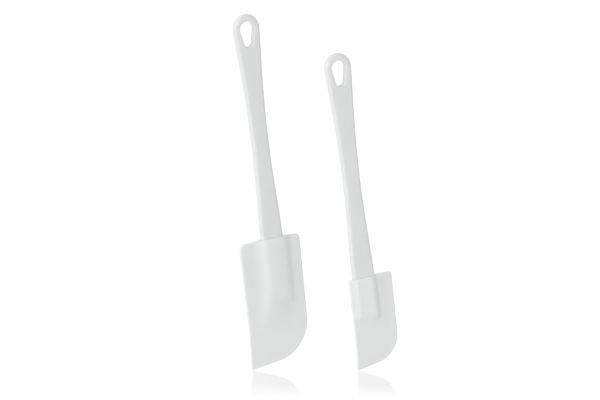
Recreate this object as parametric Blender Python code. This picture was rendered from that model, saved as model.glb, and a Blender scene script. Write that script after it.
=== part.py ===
"""A set of two rubber spatulas of one design, a large one and a small one.

Each spatula is two pieces: a stiff moulded handle with a hanging eye at the top and a
ribbed tang at the bottom, and a soft rubber head whose pocket is pushed over the tang.
Both handles come from one mould, and only the heads differ.

Metres, +Z up. The spatulas stand upright with their front faces towards -Y. The origin
is where a hook carries the large one: the top of its eye, half way through the handle.
"""

from math import atan2, ceil, cos, pi, radians, sin, sqrt, tan
from typing import NamedTuple

import bmesh
import bpy
from mathutils import Vector

MM = 0.001

# Handle, the same for both spatulas. Drops are measured down from the ring's centre.
HANDLE_THICKNESS = 6.0 * MM
RING_RADIUS = 10.3 * MM
RING_SHANK = 2.0 * MM
WAIST_WIDTH = 13.4 * MM
WAIST_DROP = 87.0 * MM
FOOT_WIDTH = 17.4 * MM
FOOT_STRAIGHT = 1.8 * MM
EXPOSED_LENGTH = 166.8 * MM

# Eye, a teardrop between two round ends, with softened edges
EYE_TOP_RADIUS = 5.4 * MM
EYE_BOTTOM_RADIUS = 3.4 * MM
EYE_SPAN = 10.1 * MM
EYE_DROP = 0.5 * MM
EYE_EDGE = 1.3 * MM

# How long each outline handle is, as a share of the stretch between two outline points
RING_TO_WAIST_PULL = (0.08, 0.515)
WAIST_TO_FOOT_PULL = (0.40, 0.28)

# Tang and the pocket it sits in
FIT = 0.3 * MM
SEAT_DEPTH = 3.0 * MM
TANG_LENGTH = 22.0 * MM
TANG_WIDTH = 14.6 * MM
TANG_THICKNESS = 3.2 * MM
TANG_TIP_CHAMFER = 1.2 * MM
TANG_TIP_TAPER = 0.7 * MM
RIB_COUNT = 3
RIB_PITCH = 6.0 * MM
RIB_RISE = 0.5 * MM
RIB_END_MARGIN = 2.0 * MM
POCKET_LEAD_IN = 0.2 * MM
LEDGE_SLOPE = 0.6 * MM

# Heads. Half widths are measured from the handle's middle line, drops from the head's lip.
BLADE_TOP_THICKNESS = 3.0 * MM
BLADE_TIP_THICKNESS = 1.5 * MM
BOSS_END_WALL = 1.5 * MM
EDGE_ROUND = 1.5 * MM
EDGE_ROUND_SHARE = 0.8
TIP_RADIUS = 0.5 * MM
# How square the boss's lower corners are: 2 is round
BOSS_CORNER_POWER = 3.0
# The swelling's slopes are round for this share, and it starts this much faster than it ends
SWELL_SHOULDER = 0.45
SWELL_START_RATE = 2.0
# How far down the top edge's shape still bends the rows below it
CROWN_REACH = 25.0 * MM
# Share of the length from which the left edge sweeps out
FLARE_START = 0.5

LARGE_LENGTH = 94.0 * MM
LARGE_LEFT = 26.3 * MM
LARGE_RIGHT = 21.6 * MM
LARGE_SLANT = radians(7.5)
LARGE_CORNER_RADIUS = 30.0 * MM
LARGE_BOSS_LENGTH = 51.0 * MM
LARGE_BOSS_WALL = 2.2 * MM

SMALL_LENGTH = 67.4 * MM
SMALL_LEFT = 11.8 * MM
SMALL_RIGHT = 22.1 * MM
SMALL_SLANT = radians(11.2)
SMALL_CORNER_RADIUS = 20.6 * MM
SMALL_BOSS_LENGTH = 34.0 * MM
SMALL_BOSS_WALL = 1.6 * MM

# Where the small spatula stands: beside the large one and nearer to the viewer
SMALL_ASIDE = 39.0 * MM
SMALL_FORWARD = 70.0 * MM

# Looks
HANDLE_COLOUR = (0.725, 0.74, 0.73)
HANDLE_ROUGHNESS = 0.33
HEAD_COLOUR = (0.765, 0.78, 0.77)
HEAD_ROUGHNESS = 0.5

# Mesh fineness
COLUMN_STEP = 1.75 * MM
BOSS_ROW_STEP = 7.5 * MM
END_ROW_STEP = 1.6 * MM
BLADE_ROW_STEP = 3.4 * MM
CORNER_ROWS = 3
TIP_CROWDING = 1.3
RIM_STEPS = 2
OUTLINE_RESOLUTION = 9
OUTLINE_BEVEL_STEPS = 2
ROUND_SIDES = 10
EYE_SIDES = 15
EYE_EDGE_DEGREES = (0, 20, 40, 60)
SHARP_ANGLE = radians(35)
FLAT_ANGLE = radians(0.5)
WELD_DISTANCE = 0.01 * MM
CUT_PAST = 2.0 * MM

# Handle length of a quarter circle's Bezier curve, as a share of its radius
QUARTER_PULL = 4 / 3 * (sqrt(2) - 1)

EYE_CENTRE_Z = -EYE_TOP_RADIUS
RING_CENTRE_Z = EYE_CENTRE_Z + EYE_DROP
RING_TOP_Z = RING_CENTRE_Z + RING_RADIUS
LIP_Z = RING_TOP_Z - EXPOSED_LENGTH
POCKET_DEPTH = SEAT_DEPTH + TANG_LENGTH + FIT


class Swell(NamedTuple):
    """A low swelling that carries a boss into the blade. Its ridge may sweep left."""

    rise: float
    top: float  # drop to its highest place
    ridge: float  # where the ridge crosses there
    sweep: float  # how far left the ridge then runs
    length: float
    ramp_left: float  # widths of its slopes
    ramp_right: float


class Head(NamedTuple):
    """One head's sizes. Widths and drops as above, all in metres and radians."""

    length: float
    left: float
    right: float
    right_draft: float  # how far the right side leans in, per metre down
    slant: float
    corner_radius: float
    top_left_radius: float
    top_right_radius: float
    crown: float  # how far the top edge falls at its ends
    top_rise: float  # how much higher the top edge is on the right than on the left
    flare: float  # how far the left edge sweeps out at the tip
    boss_length: float
    boss_wall: float  # rubber over the handle's face at the lip
    boss_end_ramp: float
    boss_left: float  # half widths of the boss's front
    boss_right: float
    front_radius: float  # how that front is rounded, negative where it is hollow
    front_tilt: float  # how it leans, as rise towards the right
    ramp_left: float  # widths of the slopes from that front to the blade
    ramp_right: float
    straight_left: float  # share of each slope that is straight
    straight_right: float
    shoulder_left: float  # share of the rest that is round, and what is left is hollow
    shoulder_right: float
    swell: Swell


LARGE_HEAD = Head(
    length=LARGE_LENGTH,
    left=LARGE_LEFT,
    right=LARGE_RIGHT,
    right_draft=0.026,
    slant=LARGE_SLANT,
    corner_radius=LARGE_CORNER_RADIUS,
    top_left_radius=5.0 * MM,
    top_right_radius=3.0 * MM,
    crown=0.9 * MM,
    top_rise=0.0,
    flare=1.7 * MM,
    boss_length=LARGE_BOSS_LENGTH,
    boss_wall=LARGE_BOSS_WALL,
    boss_end_ramp=5.0 * MM,
    boss_left=4.9 * MM,
    boss_right=7.0 * MM,
    front_radius=64.0 * MM,
    front_tilt=0.0,
    ramp_left=14.0 * MM,
    ramp_right=7.4 * MM,
    straight_left=0.0,
    straight_right=0.0,
    shoulder_left=0.27,
    shoulder_right=0.6,
    swell=Swell(
        rise=2.5 * MM,
        top=42.0 * MM,
        ridge=-4.5 * MM,
        sweep=7.5 * MM,
        length=28.0 * MM,
        ramp_left=13.0 * MM,
        ramp_right=24.0 * MM,
    ),
)

SMALL_HEAD = Head(
    length=SMALL_LENGTH,
    left=SMALL_LEFT,
    right=SMALL_RIGHT,
    right_draft=0.018,
    slant=SMALL_SLANT,
    corner_radius=SMALL_CORNER_RADIUS,
    top_left_radius=1.6 * MM,
    top_right_radius=2.6 * MM,
    crown=0.0,
    top_rise=1.0 * MM,
    flare=1.1 * MM,
    boss_length=SMALL_BOSS_LENGTH,
    boss_wall=SMALL_BOSS_WALL,
    boss_end_ramp=7.0 * MM,
    boss_left=5.6 * MM,
    boss_right=3.8 * MM,
    front_radius=-60.0 * MM,
    front_tilt=0.11,
    ramp_left=5.5 * MM,
    ramp_right=6.9 * MM,
    straight_left=0.6,
    straight_right=0.3,
    shoulder_left=0.5,
    shoulder_right=0.85,
    swell=Swell(
        rise=1.7 * MM,
        top=0.0,
        ridge=6.0 * MM,
        sweep=0.0,
        length=46.0 * MM,
        ramp_left=24.0 * MM,
        ramp_right=16.0 * MM,
    ),
)


def clear_scene():
    for old in list(bpy.data.objects):
        bpy.data.objects.remove(old, do_unlink=True)
    for old in list(bpy.data.collections):
        bpy.data.collections.remove(old)


def new_collection(name):
    collection = bpy.data.collections.new(name)
    bpy.context.scene.collection.children.link(collection)
    return collection


def plastic(name, colour, roughness):
    """A plain moulded material: no metal, one colour, one roughness."""
    material = bpy.data.materials.new(name)
    material.use_nodes = True
    shader = material.node_tree.nodes["Principled BSDF"]
    shader.inputs["Base Color"].default_value = (*colour, 1.0)
    shader.inputs["Roughness"].default_value = roughness
    shader.inputs["Metallic"].default_value = 0.0
    return material


def clamped(t):
    return min(max(t, 0.0), 1.0)


def slope(reach, straight, shoulder):
    """Height along a slope, 1 at reach 0 and 0 from reach 1 on: round, straight, then hollow.

    The straight part is a share of the whole, and the shoulder the round share of the rest.
    """
    round_reach = shoulder * (1.0 - straight)
    hollow_reach = (1.0 - shoulder) * (1.0 - straight)
    steepness = 2.0 / (1.0 + straight)
    if reach < round_reach:
        return 1.0 - steepness * reach**2 / (2.0 * round_reach)
    if reach < 1.0 - hollow_reach:
        return 1.0 - steepness * (reach - round_reach / 2.0)
    return steepness * (1.0 - min(reach, 1.0)) ** 2 / (2.0 * hollow_reach)


def mix(a, b, t):
    return a * (1.0 - t) + b * t


def object_from_bmesh(bm, name, collection):
    """Turns a closed bmesh into an object with its faces pointing out."""
    bmesh.ops.recalc_face_normals(bm, faces=bm.faces)
    mesh = bpy.data.meshes.new(name)
    bm.to_mesh(mesh)
    bm.free()
    made = bpy.data.objects.new(name, mesh)
    collection.objects.link(made)
    return made


def loft(name, rings, collection):
    """Joins rings of equally many points, one after the other, and caps both ends."""
    bm = bmesh.new()
    rows = [[bm.verts.new(point) for point in ring] for ring in rings]
    for above, below in zip(rows, rows[1:]):
        for i in range(len(above)):
            j = (i + 1) % len(above)
            bm.faces.new((above[i], above[j], below[j], below[i]))
    bm.faces.new(rows[0])
    bm.faces.new(reversed(rows[-1]))
    return object_from_bmesh(bm, name, collection)


def make_cutter(cutter):
    cutter.hide_render = True
    cutter.display_type = "WIRE"
    return cutter


def boolean(target, other, operation):
    """Adds a Boolean that stays on the target."""
    step = target.modifiers.new(f"{operation.lower()}_{other.name}", "BOOLEAN")
    step.operation = operation
    step.solver = "EXACT"
    step.object = other


def flat_section(width, thickness, z):
    """A ring across the handle: flat front and back, full round edges."""
    radius = thickness / 2
    straight = width / 2 - radius
    ring = []
    for side in (1, -1):
        for k in range(ROUND_SIDES + 1):
            angle = side * pi / 2 - pi * k / ROUND_SIDES
            ring.append((side * straight + radius * cos(angle), radius * sin(angle), z))
    return ring


def handle_body(name, collection):
    """The handle's outline as a flat curve, its edges rounded through the full thickness.

    The curve runs half a thickness inside the real outline, and the round edge adds that.
    """
    inset = HANDLE_THICKNESS / 2
    ring = RING_RADIUS - inset
    waist = WAIST_WIDTH / 2 - inset
    foot = FOOT_WIDTH / 2 - inset
    shank_z = RING_CENTRE_Z - RING_SHANK
    waist_z = RING_CENTRE_Z - WAIST_DROP
    foot_z = LIP_Z + FOOT_STRAIGHT
    end_z = LIP_Z - SEAT_DEPTH + inset
    arc_pull = ring * QUARTER_PULL
    upper = shank_z - waist_z
    lower = waist_z - foot_z
    # Each right-hand point: position, then how far its handles reach up and down
    right_side = [
        (ring, RING_CENTRE_Z, arc_pull, RING_SHANK / 3),
        (ring, shank_z, RING_SHANK / 3, upper * RING_TO_WAIST_PULL[0]),
        (waist, waist_z, upper * RING_TO_WAIST_PULL[1], lower * WAIST_TO_FOOT_PULL[0]),
        (foot, foot_z, lower * WAIST_TO_FOOT_PULL[1], (foot_z - end_z) / 3),
        (foot, end_z, (foot_z - end_z) / 3, 0.0),
    ]
    points = [((0.0, RING_CENTRE_Z + ring), (-arc_pull, 0.0), (arc_pull, 0.0))]
    points += [((x, z), (0.0, up), (0.0, -down)) for x, z, up, down in right_side]
    points += [((-x, z), (0.0, -down), (0.0, up)) for x, z, up, down in reversed(right_side)]

    curve = bpy.data.curves.new(name, "CURVE")
    curve.dimensions = "2D"
    curve.fill_mode = "BOTH"
    curve.resolution_u = OUTLINE_RESOLUTION
    curve.bevel_depth = inset
    curve.bevel_resolution = OUTLINE_BEVEL_STEPS
    spline = curve.splines.new("BEZIER")
    spline.bezier_points.add(len(points) - 1)
    for knot, (place, before, after) in zip(spline.bezier_points, points):
        knot.handle_left_type = "FREE"
        knot.handle_right_type = "FREE"
        knot.co = (*place, 0.0)
        knot.handle_left = (place[0] + before[0], place[1] + before[1], 0.0)
        knot.handle_right = (place[0] + after[0], place[1] + after[1], 0.0)
    spline.use_cyclic_u = True
    drawn = bpy.data.objects.new(name, curve)
    drawn.rotation_euler = (pi / 2, 0.0, 0.0)
    collection.objects.link(drawn)
    return curve_to_mesh(drawn, name, collection)


def curve_to_mesh(drawn, name, collection):
    """Replaces a curve object by a welded mesh in the same place."""
    bpy.context.view_layer.update()
    evaluated = drawn.evaluated_get(bpy.context.evaluated_depsgraph_get())
    mesh = bpy.data.meshes.new_from_object(evaluated)
    mesh.transform(drawn.matrix_world)
    curve = drawn.data
    bpy.data.objects.remove(drawn, do_unlink=True)
    bpy.data.curves.remove(curve)
    bm = bmesh.new()
    bm.from_mesh(mesh)
    bpy.data.meshes.remove(mesh)
    bmesh.ops.remove_doubles(bm, verts=bm.verts, dist=WELD_DISTANCE)
    bmesh.ops.dissolve_limit(bm, angle_limit=FLAT_ANGLE, verts=bm.verts, edges=bm.edges)
    return object_from_bmesh(bm, name, collection)


def teardrop(grow, y):
    """The eye's outline made larger all round by grow, at depth y."""
    top = EYE_TOP_RADIUS + grow
    bottom = EYE_BOTTOM_RADIUS + grow
    lean = atan2(top - bottom, sqrt(EYE_SPAN**2 - (top - bottom) ** 2))
    ring = []
    for k in range(EYE_SIDES + 1):
        angle = mix(-lean, pi + lean, k / EYE_SIDES)
        ring.append((top * cos(angle), y, EYE_CENTRE_Z + top * sin(angle)))
    for k in range(EYE_SIDES + 1):
        angle = mix(pi + lean, 2 * pi - lean, k / EYE_SIDES)
        ring.append((bottom * cos(angle), y, EYE_CENTRE_Z - EYE_SPAN + bottom * sin(angle)))
    return ring


def eye_cutter(collection):
    """A teardrop bar through the handle, flared at both faces to round the hole's edges."""
    face = HANDLE_THICKNESS / 2
    quarter = []
    for degrees in EYE_EDGE_DEGREES:
        angle = radians(degrees)
        quarter.append((face - EYE_EDGE * (1 - sin(angle)), EYE_EDGE * (1 - cos(angle))))
    last_y, last_grow = quarter[-1]
    run_out = face + CUT_PAST - last_y
    quarter.append((last_y + run_out, last_grow + run_out * tan(angle)))
    profile = [(-y, grow) for y, grow in reversed(quarter)] + quarter
    rings = [teardrop(grow, y) for y, grow in profile]
    return make_cutter(loft("eye_cutter", rings, collection))


def tang(collection):
    """The flat tongue below the handle, rooted well inside it and bevelled at its end."""
    root_z = LIP_Z + SEAT_DEPTH
    end_z = LIP_Z - SEAT_DEPTH - TANG_LENGTH
    rings = [
        flat_section(TANG_WIDTH, TANG_THICKNESS, root_z),
        flat_section(TANG_WIDTH, TANG_THICKNESS, end_z + TANG_TIP_CHAMFER),
        flat_section(
            TANG_WIDTH - 2 * TANG_TIP_CHAMFER,
            TANG_THICKNESS - 2 * TANG_TIP_TAPER,
            end_z,
        ),
    ]
    return make_cutter(loft("tang", rings, collection))


def grip_ribs(collection):
    """Round bars across the tang: each stands proud of both faces and bites the rubber."""
    first_z = LIP_Z - SEAT_DEPTH - TANG_LENGTH / 2 + RIB_PITCH * (RIB_COUNT - 1) / 2
    ribs = []
    for k in range(RIB_COUNT):
        bm = bmesh.new()
        bmesh.ops.create_cone(
            bm,
            cap_ends=True,
            segments=4 * ROUND_SIDES,
            radius1=TANG_THICKNESS / 2 + RIB_RISE,
            radius2=TANG_THICKNESS / 2 + RIB_RISE,
            depth=TANG_WIDTH - TANG_THICKNESS / 2 - 2 * RIB_END_MARGIN,
        )
        for vertex in bm.verts:
            x, y, z = vertex.co
            vertex.co = (z, y, x + first_z - k * RIB_PITCH)
        ribs.append(make_cutter(object_from_bmesh(bm, f"grip_rib_{k + 1}", collection)))
    return ribs


def shade_round(made):
    made.data.shade_smooth()
    made.data.set_sharp_from_angle(angle=SHARP_ANGLE)


def make_handle(name, parent, material, parts, tools):
    """Outline, tang and ribs joined, then the eye cut through."""
    handle = handle_body(name, parts)
    eye, *tongue_and_ribs = tools
    for piece in tongue_and_ribs:
        boolean(handle, piece, "UNION")
    boolean(handle, eye, "DIFFERENCE")
    shade_round(handle)
    handle.data.materials.append(material)
    handle.parent = parent


def normal_angle(travel):
    """Direction angle of the outward normal, 90 degrees to the left of a clockwise walk."""
    return atan2(travel.x, -travel.y)


class Corner(NamedTuple):
    """A rounded corner of the head's outline: its normal turns from first to last."""

    centre: Vector
    radius: float
    first: float
    last: float

    def middle(self):
        return (self.first + self.last) / 2

    def at(self, angle):
        normal = Vector((cos(angle), sin(angle)))
        return self.centre + self.radius * normal, normal


class Side:
    """A side of the outline, from the middle of one corner to the middle of the next."""

    def __init__(self, start, end, clockwise):
        self.start = start
        self.end = end
        self.leave = start.last if clockwise else start.first
        self.arrive = end.first if clockwise else end.last
        self.line_start, self.normal = start.at(self.leave)
        self.line_end, _ = end.at(self.arrive)
        self.first_arc = start.radius * abs(self.leave - start.middle())
        self.line = (self.line_end - self.line_start).length
        self.last_arc = end.radius * abs(end.middle() - self.arrive)
        self.length = self.first_arc + self.line + self.last_arc

    def at(self, distance):
        """Point and outward normal at a distance from the side's start."""
        if distance < self.first_arc:
            turned = distance / self.first_arc
            return self.start.at(mix(self.start.middle(), self.leave, turned))
        past_line = distance - self.first_arc - self.line
        if past_line > 0.0:
            turned = min(past_line / self.last_arc, 1.0)
            return self.end.at(mix(self.arrive, self.end.middle(), turned))
        gone = (distance - self.first_arc) / self.line
        return self.line_start.lerp(self.line_end, gone), self.normal

    def at_depth(self, depth):
        """Distance from the start to where the straight part is that far below the lip."""
        fall = self.line_start.y - self.line_end.y
        return self.first_arc + self.line * (self.line_start.y + depth) / fall


def head_corners(head):
    """The outline's four corners, clockwise from the top left one."""
    drop = tan(head.slant)
    across = (head.right + head.left - head.right_draft * head.length) / (1 - head.right_draft * drop)
    places = [
        Vector((-head.left, 0.0)),
        Vector((head.right, 0.0)),
        Vector((across - head.left, drop * across - head.length)),
        Vector((-head.left, -head.length)),
    ]
    radii = [head.top_left_radius, head.top_right_radius, head.corner_radius, TIP_RADIUS]
    corners = []
    for k, (place, radius) in enumerate(zip(places, radii)):
        first = normal_angle(place - places[k - 1])
        last = normal_angle(places[(k + 1) % 4] - place)
        if last > first:
            last -= 2 * pi
        corner = Corner(place, radius, first, last)
        _, outward = corner.at(corner.middle())
        corners.append(corner._replace(centre=place - outward * radius / cos((first - last) / 2)))
    return corners


def spread(low, high, step):
    """Evenly spaced values after low, up to and with high, about a step apart."""
    count = max(1, ceil((high - low) / step))
    return [mix(low, high, k / count) for k in range(1, count + 1)]


def blade_half(head, depth):
    """Half the blade's thickness, which thins towards the tip."""
    return mix(BLADE_TOP_THICKNESS, BLADE_TIP_THICKNESS, clamped(depth / head.length)) / 2


def boss_rise(head, x, depth):
    """How far the boss stands above the blade: its front, and slopes to three sides."""
    over_handle = HANDLE_THICKNESS / 2 + head.boss_wall
    over_tang = TANG_THICKNESS / 2 + BOSS_END_WALL
    front = mix(over_handle, over_tang, clamped(depth / head.boss_length))
    front += head.front_tilt * x - x**2 / (2 * head.front_radius)
    boss_end = head.boss_length - head.boss_end_ramp
    past_end = max((depth - boss_end) / head.boss_end_ramp, 0.0)
    aside = max((x - head.boss_right) / head.ramp_right, (-head.boss_left - x) / head.ramp_left, 0.0)
    reach = (aside**BOSS_CORNER_POWER + past_end**BOSS_CORNER_POWER) ** (1 / BOSS_CORNER_POWER)
    from_left = clamped((x + head.boss_left) / (head.boss_left + head.boss_right))
    straight = mix(head.straight_left, head.straight_right, from_left)
    shoulder = mix(head.shoulder_left, head.shoulder_right, from_left)
    return max(front - blade_half(head, depth), 0.0) * slope(reach, straight, shoulder)


def swell_rise(swell, x, depth):
    """How far the swelling below a boss stands above the blade."""
    down = (depth - swell.top) / swell.length
    ridge = swell.ridge - swell.sweep * clamped(down)
    aside = max((x - ridge) / swell.ramp_right, (ridge - x) / swell.ramp_left)
    fade = clamped(1.0 - max(down, -SWELL_START_RATE * down))
    return swell.rise * slope(aside, 0.0, SWELL_SHOULDER) * fade


def half_thickness(head, x, depth):
    """Half the head's thickness at a place on its front."""
    rise = max(boss_rise(head, x, depth), swell_rise(head.swell, x, depth))
    return blade_half(head, depth) + rise


def shaped(head, place):
    """Bends a place on the straight-sided outline: crowned top edge, left edge swept out."""
    x, z = place
    near_top = max(1.0 + z / CROWN_REACH, 0.0)
    across = x / (head.left + head.right)
    z += near_top * (head.top_rise * across - head.crown * (2 * across) ** 2)
    near_tip = max(-z / head.length - FLARE_START, 0.0) / (1.0 - FLARE_START)
    x -= head.flare * near_tip**2 * clamped(-x / head.left)
    return x, z


def head_patch(head):
    """Places inside the head's outline in rows and columns, and what its rim needs.

    Rows run from the left side to the right one and columns from the top edge to the bottom
    edge. Beside the boss they stay square to the handle, and below it they fan out.
    """
    top_left, top_right, low_right, tip = head_corners(head)
    top = Side(top_left, top_right, True)
    right = Side(top_right, low_right, True)
    bottom = Side(tip, low_right, False)
    left = Side(top_left, tip, False)

    down_left = [left.first_arc * k / CORNER_ROWS for k in range(CORNER_ROWS + 1)]
    down_right = [right.first_arc * k / CORNER_ROWS for k in range(CORNER_ROWS + 1)]
    boss_end = head.boss_length - head.boss_end_ramp
    depths = spread(max(head.top_left_radius, head.top_right_radius), boss_end, BOSS_ROW_STEP)
    depths += spread(boss_end, head.boss_length + END_ROW_STEP, END_ROW_STEP)
    down_left += [left.at_depth(depth) for depth in depths]
    down_right += [right.at_depth(depth) for depth in depths]
    shares = spread(0.0, 1.0, BLADE_ROW_STEP / (left.length - down_left[-1]))
    fan = [0.0] * len(down_left) + shares
    down_right += [mix(down_right[-1], right.length, share) for share in shares]
    down_left += [mix(down_left[-1], left.length, 1 - (1 - share) ** TIP_CROWDING) for share in shares]
    columns = [0.0] + spread(0.0, 1.0, COLUMN_STEP / top.length)

    def edge(side, distance):
        """Border place, its normal, and how far the front face stops short of it."""
        place, normal = side.at(distance)
        round_edge = min(EDGE_ROUND, EDGE_ROUND_SHARE * half_thickness(head, place.x, -place.y))
        return place - round_edge * normal, normal, round_edge

    tops = [edge(top, top.length * share) for share in columns]
    bottoms = [edge(bottom, bottom.length * share**TIP_CROWDING) for share in columns]
    lefts = [edge(left, distance) for distance in down_left]
    rights = [edge(right, distance) for distance in down_right]

    rows = []
    for w, (start, *_), (end, *_) in zip(fan, lefts, rights):
        row = []
        for u, (above, *_), (below, *_) in zip(columns, tops, bottoms):
            across = start.lerp(end, u)
            along = above.lerp(below, w)
            corners = tops[0][0].lerp(tops[-1][0], u).lerp(bottoms[0][0].lerp(bottoms[-1][0], u), w)
            row.append(across + along - corners)
        rows.append(row)

    last_row = len(rows) - 1
    last_column = len(columns) - 1
    border = [((0, i), tops[i]) for i in range(last_column)]
    border += [((j, last_column), rights[j]) for j in range(last_row)]
    border += [((last_row, i), bottoms[i]) for i in range(last_column, 0, -1)]
    border += [((j, 0), lefts[j]) for j in range(last_row, 0, -1)]
    return rows, border


def head_body(name, head, collection):
    """Front and back faces of the head, joined all round by a rounded rim."""
    rows, border = head_patch(head)
    bm = bmesh.new()

    def sheet(side):
        made = []
        for row in rows:
            line = []
            for place in row:
                x, z = shaped(head, place)
                line.append(bm.verts.new((x, side * half_thickness(head, place.x, -place.y), z)))
            made.append(line)
        for above, below in zip(made, made[1:]):
            for i in range(len(above) - 1):
                bm.faces.new((above[i], above[i + 1], below[i + 1], below[i]))
        return made

    def rim(side, step):
        """A loop of the rounded edge: step 0 would be the sheet's own border."""
        angle = pi / 2 * (1 - step / RIM_STEPS)
        loop = []
        for (j, i), (place, normal, round_edge) in border:
            x, z = shaped(head, place + normal * round_edge * cos(angle))
            inner = rows[j][i]
            half = half_thickness(head, inner.x, -inner.y)
            loop.append(bm.verts.new((x, side * (half - round_edge * (1 - sin(angle))), z)))
        return loop

    front = sheet(-1)
    back = sheet(1)
    loops = [[front[j][i] for (j, i), _ in border]]
    loops += [rim(-1, step) for step in range(1, RIM_STEPS + 1)]
    loops += [rim(1, step) for step in range(RIM_STEPS, 0, -1)]
    loops.append([back[j][i] for (j, i), _ in border])
    for near, far in zip(loops, loops[1:]):
        for k in range(len(border)):
            bm.faces.new((near[k - 1], near[k], far[k], far[k - 1]))
    return object_from_bmesh(bm, name, collection)


def pocket_cutter(collection):
    """The socket in a head: a led-in mouth for the handle's end, then a slot for the tang."""

    def ring(width, thickness, grow, depth):
        return flat_section(width + 2 * grow, thickness + 2 * grow, -depth)

    ledge = SEAT_DEPTH + FIT
    slot = (TANG_WIDTH, TANG_THICKNESS + 2 * RIB_RISE)
    last_rib = SEAT_DEPTH + TANG_LENGTH / 2 + RIB_PITCH * (RIB_COUNT - 1) / 2
    past_ribs = last_rib + TANG_THICKNESS / 2 + RIB_RISE + FIT
    rings = [
        ring(FOOT_WIDTH, HANDLE_THICKNESS, FIT + POCKET_LEAD_IN + CUT_PAST, -CUT_PAST),
        ring(FOOT_WIDTH, HANDLE_THICKNESS, FIT, POCKET_LEAD_IN),
        ring(FOOT_WIDTH, HANDLE_THICKNESS, FIT, ledge),
        ring(*slot, FIT, ledge + LEDGE_SLOPE),
        ring(*slot, FIT, past_ribs),
        ring(TANG_WIDTH, TANG_THICKNESS, FIT, past_ribs + RIB_RISE),
        ring(TANG_WIDTH, TANG_THICKNESS, FIT, POCKET_DEPTH),
    ]
    return make_cutter(loft("pocket_cutter", rings, collection))


def make_head(name, head, parent, material, parts, pocket):
    """The blade and boss in one piece of rubber, with the pocket cut from above."""
    made = head_body(name, head, parts)
    boolean(made, pocket, "DIFFERENCE")
    shade_round(made)
    made.data.materials.append(material)
    made.parent = parent
    made.location = (0.0, 0.0, LIP_Z)


def spatula_empty(name, place, parts):
    """An empty at the top of a spatula's eye, where a hook would carry it."""
    empty = bpy.data.objects.new(name, None)
    empty.empty_display_size = RING_RADIUS
    empty.location = place
    parts.objects.link(empty)
    return empty


def make_spatula(name, head, place, plastics, parts, cutters):
    """One spatula: its empty at the eye, its handle, and its head pushed on."""
    eye = spatula_empty(name, place, parts)
    tools = [eye_cutter(cutters), tang(cutters), *grip_ribs(cutters)]
    pocket = pocket_cutter(cutters)
    pocket.location.z = LIP_Z
    for tool in (*tools, pocket):
        tool.name = f"{name}_{tool.name}"
        tool.parent = eye
    handle_plastic, head_rubber = plastics
    make_handle(f"{name}_handle", eye, handle_plastic, parts, tools)
    make_head(f"{name}_head", head, eye, head_rubber, parts, pocket)


def main():
    clear_scene()
    parts = new_collection("rubber_spatulas")
    cutters = new_collection("cutters")
    plastics = (
        plastic("white_handle_plastic", HANDLE_COLOUR, HANDLE_ROUGHNESS),
        plastic("white_head_rubber", HEAD_COLOUR, HEAD_ROUGHNESS),
    )
    tips_level = SMALL_LENGTH - LARGE_LENGTH
    small_place = (SMALL_ASIDE, -SMALL_FORWARD, tips_level)
    make_spatula("large", LARGE_HEAD, (0.0, 0.0, 0.0), plastics, parts, cutters)
    make_spatula("small", SMALL_HEAD, small_place, plastics, parts, cutters)


main()
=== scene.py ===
"""The looks of the rubber spatula set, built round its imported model.

Each of the four moulded pieces is modelled again with a fine surface and stands for its solid.
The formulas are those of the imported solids, and so are the sizes, but for closer seams.
Metres, +Z up, in the model's frame.
"""

from math import atan2, ceil, cos, pi, radians, sin, sqrt, tan
from typing import NamedTuple

import bmesh
import bpy
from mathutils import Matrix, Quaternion, Vector

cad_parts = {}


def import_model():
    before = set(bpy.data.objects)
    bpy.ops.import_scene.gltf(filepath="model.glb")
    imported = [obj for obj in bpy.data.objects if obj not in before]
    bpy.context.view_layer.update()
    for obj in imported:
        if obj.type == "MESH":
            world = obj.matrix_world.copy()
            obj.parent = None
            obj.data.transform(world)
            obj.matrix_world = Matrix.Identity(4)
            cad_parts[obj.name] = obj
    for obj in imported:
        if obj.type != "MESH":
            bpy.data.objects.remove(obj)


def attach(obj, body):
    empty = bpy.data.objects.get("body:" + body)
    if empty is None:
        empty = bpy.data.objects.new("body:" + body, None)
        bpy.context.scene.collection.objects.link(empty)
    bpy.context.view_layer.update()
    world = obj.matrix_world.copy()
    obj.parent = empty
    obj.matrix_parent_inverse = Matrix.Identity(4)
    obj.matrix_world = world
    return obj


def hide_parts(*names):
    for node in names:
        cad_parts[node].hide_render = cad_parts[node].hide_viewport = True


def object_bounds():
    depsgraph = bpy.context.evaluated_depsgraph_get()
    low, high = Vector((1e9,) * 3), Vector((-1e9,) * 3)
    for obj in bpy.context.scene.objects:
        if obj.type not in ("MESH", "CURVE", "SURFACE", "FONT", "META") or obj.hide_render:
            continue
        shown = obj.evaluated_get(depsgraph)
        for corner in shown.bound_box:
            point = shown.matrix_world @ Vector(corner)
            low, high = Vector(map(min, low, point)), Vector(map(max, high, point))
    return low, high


MM = 0.001

# Handle, the same for both spatulas. Drops are measured down from the ring's centre.
HANDLE_THICKNESS = 6.0 * MM
RING_RADIUS = 10.3 * MM
RING_SHANK = 2.0 * MM
WAIST_WIDTH = 13.4 * MM
WAIST_DROP = 87.0 * MM
FOOT_WIDTH = 17.4 * MM
FOOT_STRAIGHT = 1.8 * MM
EXPOSED_LENGTH = 166.8 * MM

# Eye, a teardrop between two round ends, with softened edges
EYE_TOP_RADIUS = 5.4 * MM
EYE_BOTTOM_RADIUS = 3.4 * MM
EYE_SPAN = 10.1 * MM
EYE_DROP = 0.5 * MM
EYE_EDGE = 1.3 * MM

# How long each outline handle is, as a share of the stretch between two outline points
RING_TO_WAIST_PULL = (0.08, 0.515)
WAIST_TO_FOOT_PULL = (0.40, 0.28)
STRAIGHT_PULL = 1 / 3

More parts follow.
